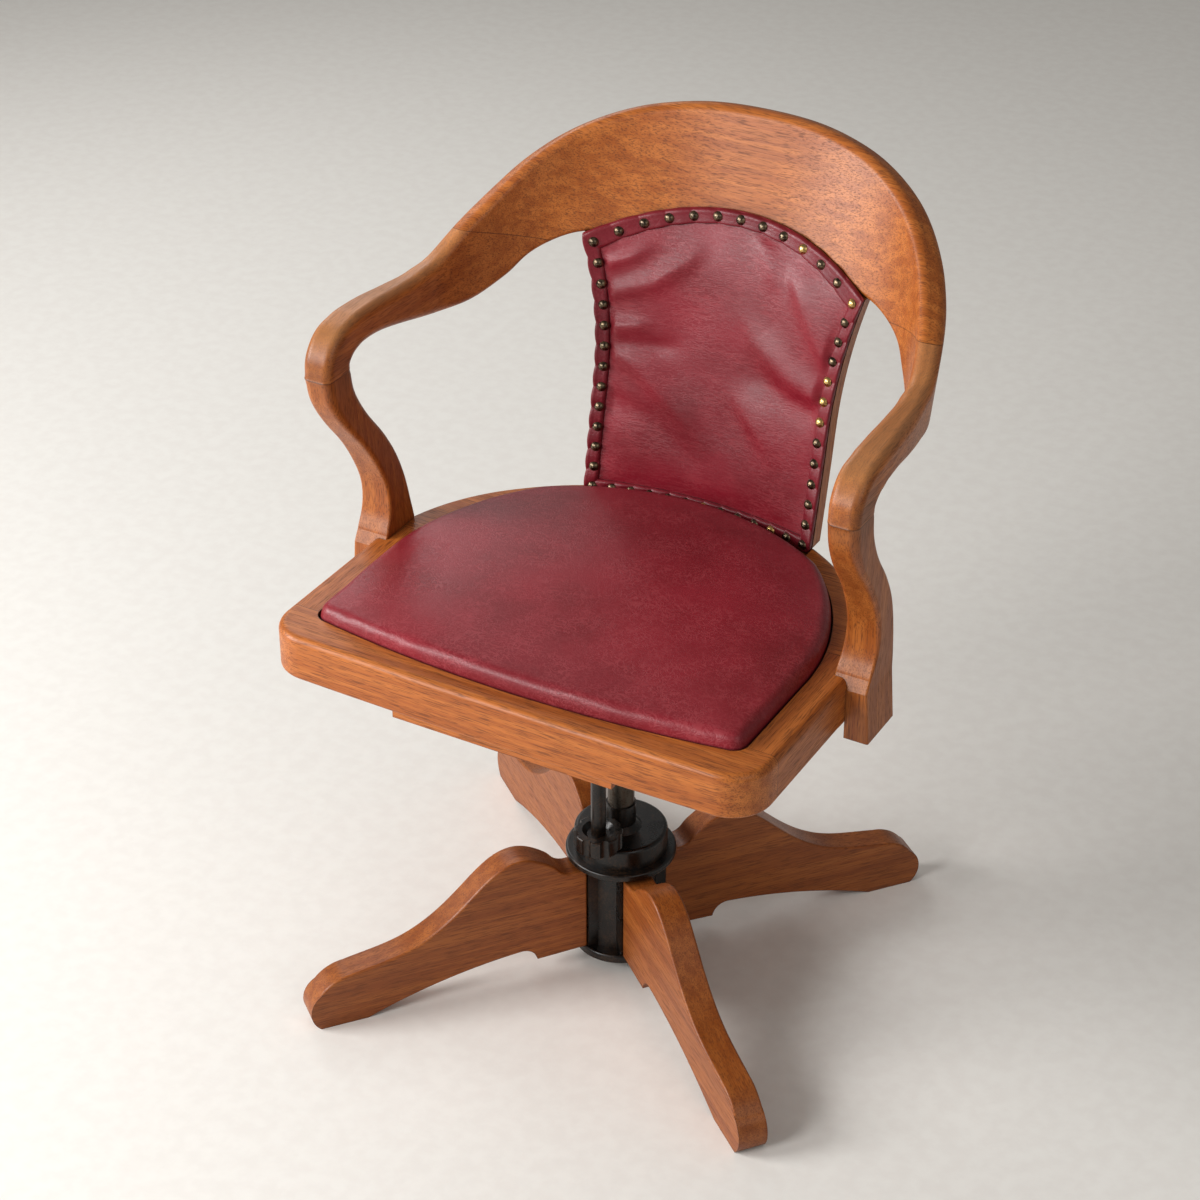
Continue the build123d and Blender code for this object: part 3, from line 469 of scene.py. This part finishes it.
# Outline of the leather on the board, in millimetres: waist, gain in half width, foot and arched top
waist_z = 575
waist = 134.5
gain_above = 24.5 / 150**2
gain_below = -1.5 / 120**2
foot_z = 451.0
head_z = 725.0
top_z = 764.0
band = 15.0


def face_y(x, z):
    """Y of the board's face."""
    low = foot_curve - sqrt(foot_curve**2 - board_half**2)
    high = head_curve - sqrt(head_curve**2 - board_half**2)
    sag = low + (z - board_foot_z) / board_rise * (high - low)
    radius = (sag**2 + board_half**2) / (2 * sag)
    return board_y + board_lean * (z - board_foot_z) - radius + sqrt(radius**2 - x**2)


def half_width(z):
    """Half width of the leather at height z."""
    rise = z - waist_z
    gain = gain_above if rise > 0 else gain_below
    return waist + gain * rise**2


def on_back(x, z, proud):
    """Point of the back that stands proud of the board by some millimetres."""
    return Vector((x, face_y(x, z) - proud - middle_y, z)) * mm


def arch(part, inset):
    """Point of the arched top edge, part from -1 to 1 across it."""
    half = half_width(head_z - inset) - inset
    rise = top_z - head_z
    radius = (half**2 + rise**2) / (2 * rise)
    angle = part * asin(half / radius)
    return radius * sin(angle), top_z - inset - radius * (1 - cos(angle))


def edge(run, part, inset):
    """Point of the leather's edge, on one of its four runs, drawn in by inset."""
    low = foot_z + inset
    high = head_z - inset
    if run == "top":
        return arch(2 * part - 1, inset)
    if run == "right":
        z = high + (low - high) * part
        return half_width(z) - inset, z
    if run == "foot":
        return (half_width(low) - inset) * (1 - 2 * part), low
    z = low + (high - low) * part
    return inset - half_width(z), z


# Folds of the back leather: points in x and z, width above and below, height, nailed at the start
folds = [
    ([(-135, 694), (-107, 706), (-79, 723)], 6, 7, 3.0, True),
    ([(-130, 664), (-78, 684), (-47, 711), (-24, 737)], 10, 10, 3.8, True),
    ([(-126, 632), (-92, 638), (-69, 639)], 6, 8, 3.2, True),
    ([(-124, 614), (-71, 618), (-30, 625)], 9, 11, -3.6, True),
    ([(-120, 612), (-83, 592), (-50, 567), (-12, 536), (22, 504)], 26, 11, 5.2, True),
    ([(-122, 557), (-70, 544), (-29, 514), (1, 489)], 11, 17, -2.6, True),
    ([(9, 598), (36, 576), (66, 547), (81, 518)], 24, 10, 4.6, False),
    ([(126, 606), (76, 624), (39, 648), (10, 688)], 17, 12, 5.2, True),
    ([(126, 593), (83, 597), (47, 612), (22, 633)], 11, 18, -3.8, True),
    ([(128, 643), (95, 686), (75, 717), (65, 736)], 18, 10, 4.4, True),
    ([(18, 756), (42, 720), (55, 695)], 11, 9, 2.2, True),
]

# Shares of a fold's length: a loose start is full by the first, and the far end fades from the second
fold_full = 0.4
fold_fade = 0.45

# Direction in x and z that is a fold's upper side
upper_x = 0.5
upper_z = 0.85


def eased(t):
    """Smooth step from 0 to 1."""
    t = min(max(t, 0), 1)
    return t * t * (3 - 2 * t)


def fold_height(x, z):
    """Height of the folds at a point of the back."""
    total = 0.0
    for points, above, below, height, nailed in folds:
        best = 1e9
        at = 0.0
        width = above
        for i in range(len(points) - 1):
            ax, az = points[i]
            bx, bz = points[i + 1]
            long = (bx - ax) ** 2 + (bz - az) ** 2
            t = min(max(((x - ax) * (bx - ax) + (z - az) * (bz - az)) / long, 0), 1)
            off_x = x - ax - t * (bx - ax)
            off_z = z - az - t * (bz - az)
            if hypot(off_x, off_z) < best:
                best = hypot(off_x, off_z)
                at = (i + t) / (len(points) - 1)
                width = above if upper_x * off_x + upper_z * off_z > 0 else below
        start = 1 if nailed else eased(at / fold_full)
        end = 1 - eased((at - fold_fade) / (1 - fold_fade))
        total += height * exp(-((best / width) ** 2)) * start * end
    return total


# Stuffing of the back, in millimetres: heights, how far in from an edge it rises, and its lumps
pad_edge = 3.4
pad_crown = 11
side_rise = 75
end_rise = 70
nail_hold = 11
tuck = 1
rise_bend = 2.4
lump_height = 1.2
lump_across = 38
lump_up = 52
lump_slice = 7.3

# Faces of the pad, and its gaps from the board's outline and face in millimetres
pad_across = 110
pad_up = 120
side_gap = 0.4
board_gap = 0.25


def swell(inside, width):
    """Rise of stuffing from an edge, from 0 to 1 over a width."""
    t = min(max(inside / width, 0), 1)
    return 1 - (1 - t) ** rise_bend


def pad_height(x, z):
    """How far the leather stands proud of the board."""
    across = half_width(min(z, head_z)) - abs(x) - band + tuck
    below = z - foot_z - band + tuck
    above = arch(max(min(x / half_width(head_z), 1), -1), 0)[1] - z - band + tuck
    crown = pad_crown * swell(across, side_rise) * swell(below, end_rise) * swell(above, end_rise)
    hold = eased(min(across, below, above) / nail_hold)
    lumps = noise.noise(Vector((x / lump_across, z / lump_up, lump_slice)))
    return pad_edge + crown + (fold_height(x, z) + lump_height * lumps) * hold


def pad_form():
    """Closed mesh of the leather back: a folded front over a flat back."""
    work = bmesh.new()
    layers = []
    for front in (True, False):
        rows = []
        for j in range(pad_up + 1):
            row = []
            for i in range(pad_across + 1):
                u = 2 * i / pad_across - 1
                top = arch(u, 0)[1]
                z = foot_z + (top - foot_z) * j / pad_up
                x = u * (half_width(min(z, head_z)) - side_gap)
                proud = pad_height(x, z) if front else board_gap
                row.append(work.verts.new(on_back(x, z, proud)))
            rows.append(row)
        layers.append(rows)
    for rows, flip in zip(layers, (False, True)):
        for j in range(pad_up):
            for i in range(pad_across):
                ring = [rows[j][i], rows[j][i + 1], rows[j + 1][i + 1], rows[j + 1][i]]
                work.faces.new(ring[::-1] if flip else ring)
    rim = [(0, i) for i in range(pad_across)]
    rim += [(j, pad_across) for j in range(pad_up)]
    rim += [(pad_up, i) for i in range(pad_across, 0, -1)]
    rim += [(j, 0) for j in range(pad_up, 0, -1)]
    face, under = layers
    for (j, i), (next_j, next_i) in zip(rim, rim[1:] + rim[:1]):
        work.faces.new([face[next_j][next_i], face[j][i], under[j][i], under[next_j][next_i]])
    return closed("leather_back", work)


pad = place("leather_back", "seat", back_leather, pad_form())
rounded(pad)
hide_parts("back_pad")

# Folded strip under the nails: its runs, nail spaces on each, and mesh steps in a space
runs = ("top", "right", "foot", "left")
nail_spaces = 12
space_steps = 20

# Strip's height at a nail and gain between nails, how far nails pull its edge in, and its waviness
strip_height = 5.8
strip_gain = 1.7
gain_bend = 0.8
nail_pull = 0.9
pull_reach = 5
height_wave = 0.5
edge_wave = 0.5
pull_wave = 0.3
waves_in_space = 1.7
wave_drift = 0.01
wave_slice = 3.1


def strip_form():
    """Closed ring of folded leather, low at each nail and full between them."""
    work = bmesh.new()
    rings = []
    steps = nail_spaces * space_steps
    for run in runs:
        for k in range(steps):
            part = k / steps
            space = part * nail_spaces
            between = abs(sin(pi * space))
            wave = noise.noise(Vector((space * waves_in_space, len(rings) * wave_drift, wave_slice)))
            full = strip_height + strip_gain * between**gain_bend + height_wave * wave
            pulled = nail_pull * (1 - between) + pull_wave * wave
            # Section of the strip: distance in from the leather's edge, and height
            section = [
                (0.3, 0.6),
                (0.0, 2.4),
                (0.4, full - 1.4),
                (1.6, full - 0.4),
                (3.4, full),
                (5.2, full - 0.3),
                (7.0, full - 0.15),
                (8.5, full - 0.1),
                (9.8, full - 0.1),
                (11.4, full + 0.1),
                (13.0, full + 0.3),
                (14.3, full - 0.6),
                (band + edge_wave * wave, full - 1.9),
                (14.8, 2.6),
                (13.2, 1.2),
                (3.0, 0.8),
            ]
            ring = []
            for inset, proud in section:
                drawn = inset + pulled * max(0, 1 - inset / pull_reach)
                x, z = edge(run, part, drawn)
                ring.append(work.verts.new(on_back(x, z, proud)))
            rings.append(ring)
    joined(work, rings + rings[:1])
    return closed("leather_strip", work)


strip = place("leather_strip", "seat", band_leather, strip_form())
rounded(strip)
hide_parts("back_banding")

# Tilt spring between the seat iron's bar and the nut
spring_low, spring_high = (corner.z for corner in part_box("tension_spring"))
rod_y = -0.0614
coil_radius = 0.017
wire = 0.002
turns = 5
steps_in_turn = 36
wire_sides = 10


def spring_form():
    """Coil of round wire."""
    steps = turns * steps_in_turn
    work = bmesh.new()
    rings = []
    rise = spring_high - spring_low - 2 * wire
    for k in range(steps + 1):
        angle = 2 * pi * turns * k / steps
        out = Vector((cos(angle), sin(angle), 0))
        centre = out * coil_radius
        centre += Vector((0, rod_y, spring_low + wire + rise * k / steps))
        ring = []
        for i in range(wire_sides):
            turn = 2 * pi * i / wire_sides
            side = out * wire * cos(turn) + Vector((0, 0, wire * sin(turn)))
            ring.append(work.verts.new(centre + side))
        rings.append(ring)
    joined(work, rings)
    work.faces.new(rings[0])
    work.faces.new(rings[-1][::-1])
    return closed("tilt_spring", work)


spring = place("tilt_spring", "tension_nut", steel, spring_form())
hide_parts("tension_spring")
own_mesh(spring)

# Floor of pale matt paint, which keeps a soft shadow
scene = bpy.context.scene
span = 6.0
corners = [(-span, -span, 0), (span, -span, 0), (span, span, 0), (-span, span, 0)]
floor_mesh = bpy.data.meshes.new("floor")
floor_mesh.from_pydata(corners, [], [(0, 1, 2, 3)])
floor = bpy.data.objects.new("floor", floor_mesh)
scene.collection.objects.link(floor)
floor_paint, tree, where = new_material("pale floor")
speckle = figure(tree, where, (20, 20, 20))
pale = stain(tree, linear("#E9E5DF"), "#EDEAE4", speckle, 0.3, 0.7)
shader = tree.nodes["Principled BSDF"]
tree.links.new(pale, shader.inputs["Base Color"])
shader.inputs["Roughness"].default_value = 0.7
floor_mesh.materials.append(floor_paint)

# Pale background
world = bpy.data.worlds.new("studio")
scene.world = world
world.use_nodes = True
backdrop = world.node_tree.nodes["Background"]
backdrop.inputs["Color"].default_value = linear("#F4F1EC")
backdrop.inputs["Strength"].default_value = 0.25


def lamp(name, at, aim_z, size, watts):
    """Soft square lamp turned to a point above the middle of the floor."""
    light = bpy.data.lights.new(name, "AREA")
    light.size = size
    light.energy = watts
    made = bpy.data.objects.new(name, light)
    scene.collection.objects.link(made)
    made.location = at
    aim = Vector((0, 0, aim_z)) - Vector(at)
    made.rotation_euler = aim.to_track_quat("-Z", "Y").to_euler()
    return made


lamps = [
    lamp("window_left", at=(-2.6, -1.7, 1.7), aim_z=0.5, size=1.4, watts=104),
    lamp("window_front", at=(-1.2, -2.9, 2.0), aim_z=0.5, size=1.2, watts=60),
    lamp("window_back_left", at=(-1.9, 1.5, 1.9), aim_z=0.6, size=1.3, watts=14),
    lamp("fill_right", at=(2.6, -1.4, 2.2), aim_z=0.5, size=1.8, watts=14),
]

# Camera where the photograph was taken from
eye = bpy.data.cameras.new("camera")
eye.sensor_width = 36
eye.lens = 84.854
camera = bpy.data.objects.new("camera", eye)
scene.collection.objects.link(camera)
stand = (1.16423, -2.10637, 1.93958)
right = Vector((0.869674, 0.493625, -0.000832))
up = Vector((-0.261405, 0.461975, 0.847494))
backward = Vector((0.418729, -0.736827, 0.530804))
turned = Matrix((right, up, backward)).transposed().to_4x4()
camera.matrix_world = Matrix.Translation(stand) @ turned
scene.camera = camera
scene.view_settings.view_transform = "Standard"
